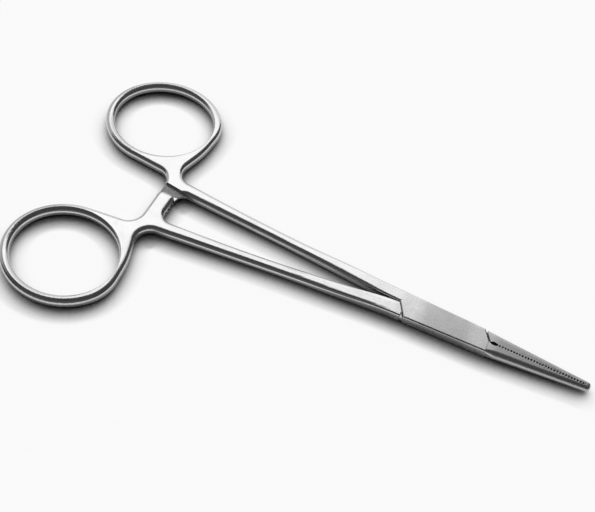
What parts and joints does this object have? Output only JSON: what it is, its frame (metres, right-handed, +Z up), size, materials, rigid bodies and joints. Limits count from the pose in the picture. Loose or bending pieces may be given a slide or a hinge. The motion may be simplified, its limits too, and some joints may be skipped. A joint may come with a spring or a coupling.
{
  "type": "hemostatic forceps",
  "caption": "Fine straight hemostatic forceps in satin stainless steel, with a box lock, finger rings and a ratchet, shown closed.",
  "frame": {"origin": "on the pivot axis, at the underside of the box lock", "axes": "+X to the jaw tips, +Y to the ring of the female half, +Z up, square to both rings"},
  "size_m": [0.125, 0.0672, 0.0027],
  "materials": {
    "steel": "satin"
  },
  "bodies": {
    "female_body": {"female_half": "steel", "pivot_pin": "steel"},
    "male_body": {"male_half": "steel"}
  },
  "joints": [
    {"name": "box_lock_pivot", "type": "hinge", "parent": "female_body", "child": "male_body", "pos_m": [0, 0, 0.00135], "axis": [0, 0, 1], "range_deg": [0, 60]}
  ]
}
